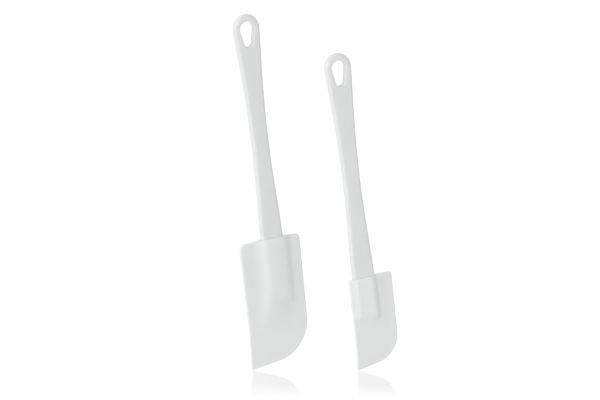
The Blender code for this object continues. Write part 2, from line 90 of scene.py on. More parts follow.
# Tang and the pocket it sits in. The fit and the lead-in are the closer seams.
FIT = 0.06 * MM
SEAT_DEPTH = 3.0 * MM
TANG_LENGTH = 22.0 * MM
TANG_WIDTH = 14.6 * MM
TANG_THICKNESS = 3.2 * MM
TANG_TIP_CHAMFER = 1.2 * MM
TANG_TIP_TAPER = 0.7 * MM
RIB_COUNT = 3
RIB_PITCH = 6.0 * MM
RIB_RISE = 0.5 * MM
RIB_END_MARGIN = 2.0 * MM
POCKET_LEAD_IN = 0.1 * MM
LEDGE_SLOPE = 0.6 * MM

# Heads. Half widths are measured from the handle's middle line, drops from the head's lip.
BLADE_TOP_THICKNESS = 3.0 * MM
BLADE_TIP_THICKNESS = 1.5 * MM
BOSS_END_WALL = 1.5 * MM
EDGE_ROUND = 1.5 * MM
EDGE_ROUND_SHARE = 0.8
TIP_RADIUS = 0.5 * MM
# How square the boss's lower corners are: 2 is round
BOSS_CORNER_POWER = 3.0
# The swelling's slopes are round for this share, and it starts this much faster than it ends
SWELL_SHOULDER = 0.45
SWELL_START_RATE = 2.0
# How far down the top edge's shape still bends the rows below it
CROWN_REACH = 25.0 * MM
# Share of the length from which the left edge sweeps out
FLARE_START = 0.5

LARGE_LENGTH = 94.0 * MM
LARGE_LEFT = 26.3 * MM
LARGE_RIGHT = 21.6 * MM
LARGE_SLANT = radians(7.5)
LARGE_CORNER_RADIUS = 30.0 * MM
LARGE_BOSS_LENGTH = 51.0 * MM
LARGE_BOSS_WALL = 2.2 * MM

SMALL_LENGTH = 67.4 * MM
SMALL_LEFT = 11.8 * MM
SMALL_RIGHT = 22.1 * MM
SMALL_SLANT = radians(11.2)
SMALL_CORNER_RADIUS = 20.6 * MM
SMALL_BOSS_LENGTH = 34.0 * MM
SMALL_BOSS_WALL = 1.6 * MM

# Where the small spatula stands: beside the large one and nearer to the viewer
SMALL_ASIDE = 39.0 * MM
SMALL_FORWARD = 70.0 * MM

# Looks. Noise lies mostly within its span, and its detail is in octaves.
NOISE_SPAN = (0.3, 0.7)
CLOUD_DETAIL = 3.0
GRAIN_DETAIL = 2.0

# Mesh fineness
COLUMN_STEP = 0.8 * MM
BOSS_ROW_STEP = 1.6 * MM
END_ROW_STEP = 0.7 * MM
BLADE_ROW_STEP = 1.4 * MM
CORNER_ROWS = 7
TIP_CROWDING = 1.3
RIM_STEPS = 5
OUTLINE_RESOLUTION = 24
OUTLINE_BEVEL_STEPS = 6
ROUND_SIDES = 20
EYE_SIDES = 32
EYE_EDGE_TURN = 60
EYE_EDGE_STEP = 10
SHARP_ANGLE = radians(35)
FLAT_ANGLE = radians(0.5)
FLAT_FACE_WEIGHT = 90
WELD_DISTANCE = 0.01 * MM
# How far a cutter reaches past the surface it cuts
CUT_PAST = 2.0 * MM

# Handle length of a quarter circle's Bezier curve, as a share of its radius
QUARTER_PULL = 4 / 3 * (sqrt(2) - 1)

# The photograph's view: its width in pixels, a pixel's size at the object, and a long lens.
# Lens and sensor are in millimetres. The camera sees as far as so many distances to the object.
PHOTO_WIDTH = 600
PIXEL = 0.7248 * MM
LENS = 1000.0
SENSOR = 36.0
SIGHT_REACH = 4
VIEW_AZIMUTH = radians(-22.0)
VIEW_ELEVATION = radians(12.0)
VIEW_ROLL = radians(7.0)
VIEW_CENTRE = Vector((11.3, -35.6, -130.2)) * MM

# Light: an even white studio, less bright on the right, and a wide soft key from the left
STUDIO_LEVEL = 0.88
DIM_AZIMUTH = radians(85.0)
DIM_FROM = radians(80.0)
DIM_TO = radians(30.0)
DIM_SHARE = 0.36
KEY_STRENGTH = 1.55
KEY_WIDTH = radians(60.0)
KEY_AZIMUTH = radians(-62.0)
KEY_ELEVATION = radians(5.0)

# Floor: a pale board, and over it a clear glossy sheet under each tip, level in the rolled
# picture. A head that is pulled off its handle goes down past its sheet and stays in view.
FLOOR_SIZE = 40.0
FLOOR_COLOUR = (0.88, 0.88, 0.88)
FLOOR_LIFT = 0.28
PULL_ROOM = 45.0 * MM
SHEET_SIZE = 340.0 * MM
SHEET_GAP = 0.1 * MM
SHEET_TILT = radians(-4.0)
SHEET_ROUGHNESS = 0.02
# Mirror image: full as far as a reach from the tip, and only as wide as the blade above it
MIRROR_SHARE = 0.53
MIRROR_FULL_REACH = 67.0 * MM
MIRROR_REACH = 165.0 * MM
MIRROR_MIDDLE = 14.0 * MM
MIRROR_FULL_WIDTH = 52.0 * MM
MIRROR_WIDTH = 72.0 * MM
# It fades as the look gets steeper, as on any gloss: 1 is along the sheet, 0 is straight down
MIRROR_STEEP_LOOK = 0.69
MIRROR_LOW_LOOK = 0.85

EYE_CENTRE_Z = -EYE_TOP_RADIUS
RING_CENTRE_Z = EYE_CENTRE_Z + EYE_DROP
RING_TOP_Z = RING_CENTRE_Z + RING_RADIUS
LIP_Z = RING_TOP_Z - EXPOSED_LENGTH
POCKET_DEPTH = SEAT_DEPTH + TANG_LENGTH + FIT


class Swell(NamedTuple):
    """A low swelling that carries a boss into the blade. Its ridge may sweep left."""

    rise: float
    top: float  # drop to its highest place
    ridge: float  # where the ridge crosses there
    sweep: float  # how far left the ridge then runs
    length: float
    ramp_left: float  # widths of its slopes
    ramp_right: float


class Head(NamedTuple):
    """One head's sizes. Widths and drops as above, all in metres and radians."""

    length: float
    left: float
    right: float
    right_draft: float  # how far the right side leans in, per metre down
    slant: float
    corner_radius: float
    top_left_radius: float
    top_right_radius: float
    crown: float  # how far the top edge falls at its ends
    top_rise: float  # how much higher the top edge is on the right than on the left
    flare: float  # how far the left edge sweeps out at the tip
    boss_length: float
    boss_wall: float  # rubber over the handle's face at the lip
    boss_end_ramp: float
    boss_left: float  # half widths of the boss's front
    boss_right: float
    front_radius: float  # how that front is rounded, negative where it is hollow
    front_tilt: float  # how it leans, as rise towards the right
    ramp_left: float  # widths of the slopes from that front to the blade
    ramp_right: float
    straight_left: float  # share of each slope that is straight
    straight_right: float
    shoulder_left: float  # share of the rest that is round, and what is left is hollow
    shoulder_right: float
    swell: Swell


LARGE_HEAD = Head(
    length=LARGE_LENGTH,
    left=LARGE_LEFT,
    right=LARGE_RIGHT,
    right_draft=0.026,
    slant=LARGE_SLANT,
    corner_radius=LARGE_CORNER_RADIUS,
    top_left_radius=5.0 * MM,
    top_right_radius=3.0 * MM,
    crown=0.9 * MM,
    top_rise=0.0,
    flare=1.7 * MM,
    boss_length=LARGE_BOSS_LENGTH,
    boss_wall=LARGE_BOSS_WALL,
    boss_end_ramp=5.0 * MM,
    boss_left=4.9 * MM,
    boss_right=7.0 * MM,
    front_radius=64.0 * MM,
    front_tilt=0.0,
    ramp_left=14.0 * MM,
    ramp_right=7.4 * MM,
    straight_left=0.0,
    straight_right=0.0,
    shoulder_left=0.27,
    shoulder_right=0.6,
    swell=Swell(
        rise=2.5 * MM,
        top=42.0 * MM,
        ridge=-4.5 * MM,
        sweep=7.5 * MM,
        length=28.0 * MM,
        ramp_left=13.0 * MM,
        ramp_right=24.0 * MM,
    ),
)

SMALL_HEAD = Head(
    length=SMALL_LENGTH,
    left=SMALL_LEFT,
    right=SMALL_RIGHT,
    right_draft=0.018,
    slant=SMALL_SLANT,
    corner_radius=SMALL_CORNER_RADIUS,
    top_left_radius=1.6 * MM,
    top_right_radius=2.6 * MM,
    crown=0.0,
    top_rise=1.0 * MM,
    flare=1.1 * MM,
    boss_length=SMALL_BOSS_LENGTH,
    boss_wall=SMALL_BOSS_WALL,
    boss_end_ramp=7.0 * MM,
    boss_left=5.6 * MM,
    boss_right=3.8 * MM,
    front_radius=-60.0 * MM,
    front_tilt=0.11,
    ramp_left=5.5 * MM,
    ramp_right=6.9 * MM,
    straight_left=0.6,
    straight_right=0.3,
    shoulder_left=0.5,
    shoulder_right=0.85,
    swell=Swell(
        rise=1.7 * MM,
        top=0.0,
        ridge=6.0 * MM,
        sweep=0.0,
        length=46.0 * MM,
        ramp_left=24.0 * MM,
        ramp_right=16.0 * MM,
    ),
)


class Look(NamedTuple):
    """A moulded white material, faintly uneven in colour and gloss, with the mould's grain."""

    name: str
    colour: tuple
    uneven: float  # how far the colour goes up and down, as a share of it
    roughness: float  # in the middle, then at its two ends
    smoothest: float
    roughest: float
    clouds: float  # scales of the two noises, per metre
    grain: float
    grain_depth: float


HANDLE_PLASTIC = Look(
    name="white_handle_plastic",
    colour=(0.725, 0.74, 0.73),
    uneven=0.006,
    roughness=0.33,
    smoothest=0.29,
    roughest=0.38,
    clouds=45.0,
    grain=2200.0,
    grain_depth=0.004 * MM,
)

HEAD_RUBBER = Look(
    name="white_head_rubber",
    colour=(0.765, 0.78, 0.77),
    uneven=0.008,
    roughness=0.5,
    smoothest=0.45,
    roughest=0.56,
    clouds=60.0,
    grain=2600.0,
    grain_depth=0.010 * MM,
)


def clamped(t):
    return min(max(t, 0.0), 1.0)


def slope(reach, straight, shoulder):
    """Height along a slope, 1 at reach 0 and 0 from reach 1 on: round, straight, then hollow.

    The straight part is a share of the whole, and the shoulder the round share of the rest.
    """
    round_reach = shoulder * (1.0 - straight)
    hollow_reach = (1.0 - shoulder) * (1.0 - straight)
    steepness = 2.0 / (1.0 + straight)
    if reach < round_reach:
        return 1.0 - steepness * reach**2 / (2.0 * round_reach)
    if reach < 1.0 - hollow_reach:
        return 1.0 - steepness * (reach - round_reach / 2.0)
    return steepness * (1.0 - min(reach, 1.0)) ** 2 / (2.0 * hollow_reach)


def mix(a, b, t):
    return a * (1.0 - t) + b * t


def object_from_bmesh(bm, name, collection):
    """Turns a closed bmesh into an object with its faces pointing out."""
    bmesh.ops.recalc_face_normals(bm, faces=bm.faces)
    mesh = bpy.data.meshes.new(name)
    bm.to_mesh(mesh)
    bm.free()
    made = bpy.data.objects.new(name, mesh)
    collection.objects.link(made)
    return made


def loft(name, rings, collection):
    """Joins rings of equally many points, one after the other, and caps both ends."""
    bm = bmesh.new()
    rows = [[bm.verts.new(point) for point in ring] for ring in rings]
    for above, below in zip(rows, rows[1:]):
        for i in range(len(above)):
            j = (i + 1) % len(above)
            bm.faces.new((above[i], above[j], below[j], below[i]))
    bm.faces.new(rows[0])
    bm.faces.new(reversed(rows[-1]))
    return object_from_bmesh(bm, name, collection)


def boolean(target, other, operation):
    """Adds a Boolean that stays on the target."""
    step = target.modifiers.new(f"{operation.lower()}_{other.name}", "BOOLEAN")
    step.operation = operation
    step.solver = "EXACT"
    step.object = other


def flat_section(width, thickness, z):
    """A ring across the handle: flat front and back, full round edges."""
    radius = thickness / 2
    straight = width / 2 - radius
    ring = []
    for side in (1, -1):
        for k in range(ROUND_SIDES + 1):
            angle = side * pi / 2 - pi * k / ROUND_SIDES
            ring.append((side * straight + radius * cos(angle), radius * sin(angle), z))
    return ring


def handle_outline(inset):
    """Points of the handle's outline, drawn that far inside it, with each point's two handles."""
    ring = RING_RADIUS - inset
    waist = WAIST_WIDTH / 2 - inset
    foot = FOOT_WIDTH / 2 - inset
    shank_z = RING_CENTRE_Z - RING_SHANK
    waist_z = RING_CENTRE_Z - WAIST_DROP
    foot_z = LIP_Z + FOOT_STRAIGHT
    end_z = LIP_Z - SEAT_DEPTH + inset
    arc_pull = ring * QUARTER_PULL
    shank_pull = RING_SHANK * STRAIGHT_PULL
    foot_pull = (foot_z - end_z) * STRAIGHT_PULL
    upper = shank_z - waist_z
    lower = waist_z - foot_z
    # Each right-hand point: position, then how far its handles reach up and down
    right_side = [
        (ring, RING_CENTRE_Z, arc_pull, shank_pull),
        (ring, shank_z, shank_pull, upper * RING_TO_WAIST_PULL[0]),
        (waist, waist_z, upper * RING_TO_WAIST_PULL[1], lower * WAIST_TO_FOOT_PULL[0]),
        (foot, foot_z, lower * WAIST_TO_FOOT_PULL[1], foot_pull),
        (foot, end_z, foot_pull, 0.0),
    ]
    points = [((0.0, RING_CENTRE_Z + ring), (-arc_pull, 0.0), (arc_pull, 0.0))]
    points += [((x, z), (0.0, up), (0.0, -down)) for x, z, up, down in right_side]
    points += [((-x, z), (0.0, -down), (0.0, up)) for x, z, up, down in reversed(right_side)]
    return points


def handle_body(name, collection):
    """The handle's outline as a flat curve, its edges rounded through the full thickness.

    The curve runs half a thickness inside the real outline, and the round edge adds that.
    """
    inset = HANDLE_THICKNESS / 2
    points = handle_outline(inset)
    curve = bpy.data.curves.new(name, "CURVE")
    curve.dimensions = "2D"
    curve.fill_mode = "BOTH"
    curve.resolution_u = OUTLINE_RESOLUTION
    curve.bevel_depth = inset
    curve.bevel_resolution = OUTLINE_BEVEL_STEPS
    spline = curve.splines.new("BEZIER")
    spline.bezier_points.add(len(points) - 1)
    for knot, (place, before, after) in zip(spline.bezier_points, points):
        knot.handle_left_type = "FREE"
        knot.handle_right_type = "FREE"
        knot.co = (*place, 0.0)
        knot.handle_left = (place[0] + before[0], place[1] + before[1], 0.0)
        knot.handle_right = (place[0] + after[0], place[1] + after[1], 0.0)
    spline.use_cyclic_u = True
    drawn = bpy.data.objects.new(name, curve)
    drawn.rotation_euler = (pi / 2, 0.0, 0.0)
    collection.objects.link(drawn)
    return curve_to_mesh(drawn, name, collection)


def curve_to_mesh(drawn, name, collection):
    """Replaces a curve object by a welded mesh in the same place."""
    bpy.context.view_layer.update()
    evaluated = drawn.evaluated_get(bpy.context.evaluated_depsgraph_get())
    mesh = bpy.data.meshes.new_from_object(evaluated)
    mesh.transform(drawn.matrix_world)
    curve = drawn.data
    bpy.data.objects.remove(drawn, do_unlink=True)
    bpy.data.curves.remove(curve)
    bm = bmesh.new()
    bm.from_mesh(mesh)
    bpy.data.meshes.remove(mesh)
    bmesh.ops.remove_doubles(bm, verts=bm.verts, dist=WELD_DISTANCE)
    bmesh.ops.dissolve_limit(bm, angle_limit=FLAT_ANGLE, verts=bm.verts, edges=bm.edges)
    return object_from_bmesh(bm, name, collection)


def teardrop(grow, y):
    """The eye's outline made larger all round by grow, at depth y."""
    top = EYE_TOP_RADIUS + grow
    bottom = EYE_BOTTOM_RADIUS + grow
    lean = atan2(top - bottom, sqrt(EYE_SPAN**2 - (top - bottom) ** 2))
    ring = []
    for k in range(EYE_SIDES + 1):
        angle = mix(-lean, pi + lean, k / EYE_SIDES)
        ring.append((top * cos(angle), y, EYE_CENTRE_Z + top * sin(angle)))
    for k in range(EYE_SIDES + 1):
        angle = mix(pi + lean, 2 * pi - lean, k / EYE_SIDES)
        ring.append((bottom * cos(angle), y, EYE_CENTRE_Z - EYE_SPAN + bottom * sin(angle)))
    return ring


def eye_cutter(collection):
    """A teardrop bar through the handle, flared at both faces to round the hole's edges."""
    face = HANDLE_THICKNESS / 2
    quarter = []
    for degrees in range(0, EYE_EDGE_TURN + 1, EYE_EDGE_STEP):
        angle = radians(degrees)
        quarter.append((face - EYE_EDGE * (1 - sin(angle)), EYE_EDGE * (1 - cos(angle))))
    last_y, last_grow = quarter[-1]
    run_out = face + CUT_PAST - last_y
    flare = run_out * tan(radians(EYE_EDGE_TURN))
    quarter.append((last_y + run_out, last_grow + flare))
    profile = [(-y, grow) for y, grow in reversed(quarter)] + quarter
    rings = [teardrop(grow, y) for y, grow in profile]
    return loft("eye_cutter", rings, collection)


def tang(collection):
    """The flat tongue below the handle, rooted well inside it and bevelled at its end."""
    root_z = LIP_Z + SEAT_DEPTH
    end_z = LIP_Z - SEAT_DEPTH - TANG_LENGTH
    rings = [
        flat_section(TANG_WIDTH, TANG_THICKNESS, root_z),
        flat_section(TANG_WIDTH, TANG_THICKNESS, end_z + TANG_TIP_CHAMFER),
        flat_section(
            TANG_WIDTH - 2 * TANG_TIP_CHAMFER,
            TANG_THICKNESS - 2 * TANG_TIP_TAPER,
            end_z,
        ),
    ]
    return loft("tang", rings, collection)


def grip_ribs(collection):
    """Round bars across the tang: each stands proud of both faces and bites the rubber."""
    first_z = LIP_Z - SEAT_DEPTH - TANG_LENGTH / 2 + RIB_PITCH * (RIB_COUNT - 1) / 2
    ribs = []
    for k in range(RIB_COUNT):
        bm = bmesh.new()
        bmesh.ops.create_cone(
            bm,
            cap_ends=True,
            segments=4 * ROUND_SIDES,
            radius1=TANG_THICKNESS / 2 + RIB_RISE,
            radius2=TANG_THICKNESS / 2 + RIB_RISE,
            depth=TANG_WIDTH - TANG_THICKNESS / 2 - 2 * RIB_END_MARGIN,
        )
        for vertex in bm.verts:
            x, y, z = vertex.co
            vertex.co = (z, y, x + first_z - k * RIB_PITCH)
        ribs.append(object_from_bmesh(bm, f"grip_rib_{k + 1}", collection))
    return ribs


def normal_angle(travel):
    """Direction angle of the outward normal, 90 degrees to the left of a clockwise walk."""
    return atan2(travel.x, -travel.y)


class Corner(NamedTuple):
    """A rounded corner of the head's outline: its normal turns from first to last."""

    centre: Vector
    radius: float
    first: float
    last: float

    def middle(self):
        return (self.first + self.last) / 2

    def at(self, angle):
        normal = Vector((cos(angle), sin(angle)))
        return self.centre + self.radius * normal, normal


class Side:
    """A side of the outline, from the middle of one corner to the middle of the next."""

    def __init__(self, start, end, clockwise):
        self.start = start
        self.end = end
        self.leave = start.last if clockwise else start.first
        self.arrive = end.first if clockwise else end.last
        self.line_start, self.normal = start.at(self.leave)
        self.line_end, _ = end.at(self.arrive)
        self.first_arc = start.radius * abs(self.leave - start.middle())
        self.line = (self.line_end - self.line_start).length
        self.last_arc = end.radius * abs(end.middle() - self.arrive)
        self.length = self.first_arc + self.line + self.last_arc

    def at(self, distance):
        """Point and outward normal at a distance from the side's start."""
        if distance < self.first_arc:
            turned = distance / self.first_arc
            return self.start.at(mix(self.start.middle(), self.leave, turned))
        past_line = distance - self.first_arc - self.line
        if past_line > 0.0:
            turned = min(past_line / self.last_arc, 1.0)
            return self.end.at(mix(self.arrive, self.end.middle(), turned))
        gone = (distance - self.first_arc) / self.line
        return self.line_start.lerp(self.line_end, gone), self.normal

    def at_depth(self, depth):
        """Distance from the start to where the straight part is that far below the lip."""
        fall = self.line_start.y - self.line_end.y
        return self.first_arc + self.line * (self.line_start.y + depth) / fall


def head_corners(head):
    """The outline's four corners, clockwise from the top left one."""
    drop = tan(head.slant)
    top_width = head.right + head.left
    across = (top_width - head.right_draft * head.length) / (1 - head.right_draft * drop)
    places = [
        Vector((-head.left, 0.0)),
        Vector((head.right, 0.0)),
        Vector((across - head.left, drop * across - head.length)),
        Vector((-head.left, -head.length)),
    ]
    radii = [head.top_left_radius, head.top_right_radius, head.corner_radius, TIP_RADIUS]
    corners = []
    for k, (place, radius) in enumerate(zip(places, radii)):
        first = normal_angle(place - places[k - 1])
        last = normal_angle(places[(k + 1) % 4] - place)
        if last > first:
            last -= 2 * pi
        corner = Corner(place, radius, first, last)
        _, outward = corner.at(corner.middle())
        corners.append(corner._replace(centre=place - outward * radius / cos((first - last) / 2)))
    return corners


def spread(low, high, step):
    """Evenly spaced values after low, up to and with high, about a step apart."""
    count = max(1, ceil((high - low) / step))
    return [mix(low, high, k / count) for k in range(1, count + 1)]


def blade_half(head, depth):
    """Half the blade's thickness, which thins towards the tip."""
    return mix(BLADE_TOP_THICKNESS, BLADE_TIP_THICKNESS, clamped(depth / head.length)) / 2


def boss_rise(head, x, depth):
    """How far the boss stands above the blade: its front, and slopes to three sides."""
    over_handle = HANDLE_THICKNESS / 2 + head.boss_wall
    over_tang = TANG_THICKNESS / 2 + BOSS_END_WALL
    front = mix(over_handle, over_tang, clamped(depth / head.boss_length))
    front += head.front_tilt * x - x**2 / (2 * head.front_radius)
    boss_end = head.boss_length - head.boss_end_ramp
    past_end = max((depth - boss_end) / head.boss_end_ramp, 0.0)
    to_right = (x - head.boss_right) / head.ramp_right
    to_left = (-head.boss_left - x) / head.ramp_left
    aside = max(to_right, to_left, 0.0)
    reach = (aside**BOSS_CORNER_POWER + past_end**BOSS_CORNER_POWER) ** (1 / BOSS_CORNER_POWER)
    from_left = clamped((x + head.boss_left) / (head.boss_left + head.boss_right))
    straight = mix(head.straight_left, head.straight_right, from_left)
    shoulder = mix(head.shoulder_left, head.shoulder_right, from_left)
    return max(front - blade_half(head, depth), 0.0) * slope(reach, straight, shoulder)


def swell_rise(swell, x, depth):
    """How far the swelling below a boss stands above the blade."""
    down = (depth - swell.top) / swell.length
    ridge = swell.ridge - swell.sweep * clamped(down)
    aside = max((x - ridge) / swell.ramp_right, (ridge - x) / swell.ramp_left)
    fade = clamped(1.0 - max(down, -SWELL_START_RATE * down))
    return swell.rise * slope(aside, 0.0, SWELL_SHOULDER) * fade


def half_thickness(head, x, depth):
    """Half the head's thickness at a place on its front."""
    rise = max(boss_rise(head, x, depth), swell_rise(head.swell, x, depth))
    return blade_half(head, depth) + rise


def shaped(head, place):
    """Bends a place on the straight-sided outline: crowned top edge, left edge swept out."""
    x, z = place
    near_top = max(1.0 + z / CROWN_REACH, 0.0)
    across = x / (head.left + head.right)
    z += near_top * (head.top_rise * across - head.crown * (2 * across) ** 2)
    near_tip = max(-z / head.length - FLARE_START, 0.0) / (1.0 - FLARE_START)
    x -= head.flare * near_tip**2 * clamped(-x / head.left)
    return x, z


def rim_start(head, side, distance):
    """Border place, its normal, and how far the front face stops short of it."""
    place, normal = side.at(distance)
    round_edge = min(EDGE_ROUND, EDGE_ROUND_SHARE * half_thickness(head, place.x, -place.y))
    return place - round_edge * normal, normal, round_edge


def row_ends(head, left, right):
    """How far down the left and right sides the rows end, and how far each row is fanned out."""
    down_left = [left.first_arc * k / CORNER_ROWS for k in range(CORNER_ROWS + 1)]
    down_right = [right.first_arc * k / CORNER_ROWS for k in range(CORNER_ROWS + 1)]
    boss_end = head.boss_length - head.boss_end_ramp
    depths = spread(max(head.top_left_radius, head.top_right_radius), boss_end, BOSS_ROW_STEP)
    depths += spread(boss_end, head.boss_length + END_ROW_STEP, END_ROW_STEP)
    down_left += [left.at_depth(depth) for depth in depths]
    down_right += [right.at_depth(depth) for depth in depths]
    shares = spread(0.0, 1.0, BLADE_ROW_STEP / (left.length - down_left[-1]))
    fan = [0.0] * len(down_left) + shares
    down_right += [mix(down_right[-1], right.length, share) for share in shares]
    crowded = [1 - (1 - share) ** TIP_CROWDING for share in shares]
    down_left += [mix(down_left[-1], left.length, share) for share in crowded]
    return down_left, down_right, fan


def patch_rows(tops, bottoms, lefts, rights, columns, fan):
    """Places inside four edges: rows between the sides, bent to the top and bottom edges."""
    rows = []
    for w, (start, *_), (end, *_) in zip(fan, lefts, rights):
        row = []
        for u, (above, *_), (below, *_) in zip(columns, tops, bottoms):
            across = start.lerp(end, u)
            along = above.lerp(below, w)
            corners = tops[0][0].lerp(tops[-1][0], u).lerp(bottoms[0][0].lerp(bottoms[-1][0], u), w)
            row.append(across + along - corners)
        rows.append(row)
    return rows


def head_patch(head):
    """Places inside the head's outline in rows and columns, and what its rim needs.

    Rows run from the left side to the right one and columns from the top edge to the bottom
    edge. Beside the boss they stay square to the handle, and below it they fan out.
    """
    top_left, top_right, low_right, tip = head_corners(head)
    top = Side(top_left, top_right, True)
    right = Side(top_right, low_right, True)
    bottom = Side(tip, low_right, False)
    left = Side(top_left, tip, False)
    down_left, down_right, fan = row_ends(head, left, right)
    columns = [0.0] + spread(0.0, 1.0, COLUMN_STEP / top.length)
    crowded = [share**TIP_CROWDING for share in columns]
    tops = [rim_start(head, top, top.length * share) for share in columns]
    bottoms = [rim_start(head, bottom, bottom.length * share) for share in crowded]
    lefts = [rim_start(head, left, distance) for distance in down_left]
    rights = [rim_start(head, right, distance) for distance in down_right]
    rows = patch_rows(tops, bottoms, lefts, rights, columns, fan)

    last_row = len(rows) - 1
    last_column = len(columns) - 1
    border = [((0, i), tops[i]) for i in range(last_column)]
    border += [((j, last_column), rights[j]) for j in range(last_row)]
    border += [((last_row, i), bottoms[i]) for i in range(last_column, 0, -1)]
    border += [((j, 0), lefts[j]) for j in range(last_row, 0, -1)]
    return rows, border


def head_body(name, head, collection):
    """Front and back faces of the head, joined all round by a rounded rim."""
    rows, border = head_patch(head)
    bm = bmesh.new()

    def sheet(side):
        made = []
        for row in rows:
            line = []
            for place in row:
                x, z = shaped(head, place)
                line.append(bm.verts.new((x, side * half_thickness(head, place.x, -place.y), z)))
            made.append(line)
        for above, below in zip(made, made[1:]):
            for i in range(len(above) - 1):
                bm.faces.new((above[i], above[i + 1], below[i + 1], below[i]))
        return made

    def rim(side, step):
        """A loop of the rounded edge: step 0 would be the sheet's own border."""
        angle = pi / 2 * (1 - step / RIM_STEPS)
        loop = []
        for (j, i), (place, normal, round_edge) in border:
            x, z = shaped(head, place + normal * round_edge * cos(angle))
            inner = rows[j][i]
            half = half_thickness(head, inner.x, -inner.y)
            loop.append(bm.verts.new((x, side * (half - round_edge * (1 - sin(angle))), z)))
        return loop

    front = sheet(-1)
    back = sheet(1)
    loops = [[front[j][i] for (j, i), _ in border]]
    loops += [rim(-1, step) for step in range(1, RIM_STEPS + 1)]
    loops += [rim(1, step) for step in range(RIM_STEPS, 0, -1)]
    loops.append([back[j][i] for (j, i), _ in border])
    for near, far in zip(loops, loops[1:]):
        for k in range(len(border)):
            bm.faces.new((near[k - 1], near[k], far[k], far[k - 1]))
    return object_from_bmesh(bm, name, collection)


def pocket_cutter(collection):
    """The socket in a head: a led-in mouth for the handle's end, then a slot for the tang."""

    def ring(width, thickness, grow, depth):
        return flat_section(width + 2 * grow, thickness + 2 * grow, -depth)

    ledge = SEAT_DEPTH + FIT
    slot = (TANG_WIDTH, TANG_THICKNESS + 2 * RIB_RISE)
    last_rib = SEAT_DEPTH + TANG_LENGTH / 2 + RIB_PITCH * (RIB_COUNT - 1) / 2
    past_ribs = last_rib + TANG_THICKNESS / 2 + RIB_RISE + FIT
    rings = [
        ring(FOOT_WIDTH, HANDLE_THICKNESS, FIT + POCKET_LEAD_IN + CUT_PAST, -CUT_PAST),
        ring(FOOT_WIDTH, HANDLE_THICKNESS, FIT, POCKET_LEAD_IN),
        ring(FOOT_WIDTH, HANDLE_THICKNESS, FIT, ledge),
        ring(*slot, FIT, ledge + LEDGE_SLOPE),
        ring(*slot, FIT, past_ribs),
        ring(TANG_WIDTH, TANG_THICKNESS, FIT, past_ribs + RIB_RISE),
        ring(TANG_WIDTH, TANG_THICKNESS, FIT, POCKET_DEPTH),
    ]
    return loft("pocket_cutter", rings, collection)


def combined(tree, operation, first, second):
    """Two links put together by one step of arithmetic."""
    step = tree.nodes.new("ShaderNodeMath")
    step.operation = operation
    tree.links.new(first, step.inputs[0])
    tree.links.new(second, step.inputs[1])
    return step.outputs[0]


def ranged(tree, value, span, ends):
    """Turns a link's values over a span into values between two ends."""
    step = tree.nodes.new("ShaderNodeMapRange")
    for kind, (low, high) in (("From", span), ("To", ends)):
        step.inputs[f"{kind} Min"].default_value = low
        step.inputs[f"{kind} Max"].default_value = high
    tree.links.new(value, step.inputs["Value"])
    return step.outputs["Result"]


def noise(tree, scale, detail):
    """A noise over the piece's own metres."""
    texture = tree.nodes.new("ShaderNodeTexNoise")
    texture.inputs["Scale"].default_value = scale
    texture.inputs["Detail"].default_value = detail
    places = tree.nodes.new("ShaderNodeTexCoord")
    tree.links.new(places.outputs["Object"], texture.inputs["Vector"])
    return texture.outputs["Fac"]


def between_colours(tree, factor, dark, light):
    """A blend of two colours by a link from 0 to 1."""
    blend = tree.nodes.new("ShaderNodeMix")
    blend.data_type = "RGBA"
    blend.inputs["A"].default_value = (*dark, 1.0)
    blend.inputs["B"].default_value = (*light, 1.0)
    tree.links.new(factor, blend.inputs["Factor"])
    return blend.outputs["Result"]


def moulded(look):
    """A material of that look: clouds in its colour and gloss, and a bump for the grain."""
    material = bpy.data.materials.new(look.name)
    material.use_nodes = True
    tree = material.node_tree
    shader = tree.nodes["Principled BSDF"]
    shader.inputs["Base Color"].default_value = (*look.colour, 1.0)
    shader.inputs["Roughness"].default_value = look.roughness
    clouds = noise(tree, look.clouds, CLOUD_DETAIL)
    shade = ranged(tree, clouds, NOISE_SPAN, (0.0, 1.0))
    dark = tuple(c * (1 - look.uneven) for c in look.colour)
    light = tuple(c * (1 + look.uneven) for c in look.colour)
    colour = between_colours(tree, shade, dark, light)
    gloss = ranged(tree, clouds, NOISE_SPAN, (look.smoothest, look.roughest))
    tree.links.new(colour, shader.inputs["Base Color"])
    tree.links.new(gloss, shader.inputs["Roughness"])
    bump = tree.nodes.new("ShaderNodeBump")
    bump.inputs["Strength"].default_value = 1.0
    bump.inputs["Distance"].default_value = look.grain_depth
    tree.links.new(noise(tree, look.grain, GRAIN_DETAIL), bump.inputs["Height"])
    tree.links.new(bump.outputs["Normal"], shader.inputs["Normal"])
    return material


def apply_booleans(made, tools):
    """Keeps the cut and joined mesh, and drops what cut and joined it."""
    bpy.context.view_layer.update()
    evaluated = made.evaluated_get(bpy.context.evaluated_depsgraph_get())
    mesh = bpy.data.meshes.new_from_object(evaluated)
    made.modifiers.clear()
    made.data = mesh
    for tool in tools:
        bpy.data.objects.remove(tool, do_unlink=True)


def shade_round(made):
    """Smooth, with flat faces kept flat beside their rounded edges."""
    made.data.shade_smooth()
    made.data.set_sharp_from_angle(angle=SHARP_ANGLE)
    flat_faces = made.modifiers.new("flat_faces", "WEIGHTED_NORMAL")
    flat_faces.weight = FLAT_FACE_WEIGHT
    flat_faces.keep_sharp = True


def dress(made, body, material):
    """The finished piece takes its solid's place on its body."""
    shade_round(made)
    made.data.materials.append(material)
    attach(made, body)
    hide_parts(body)


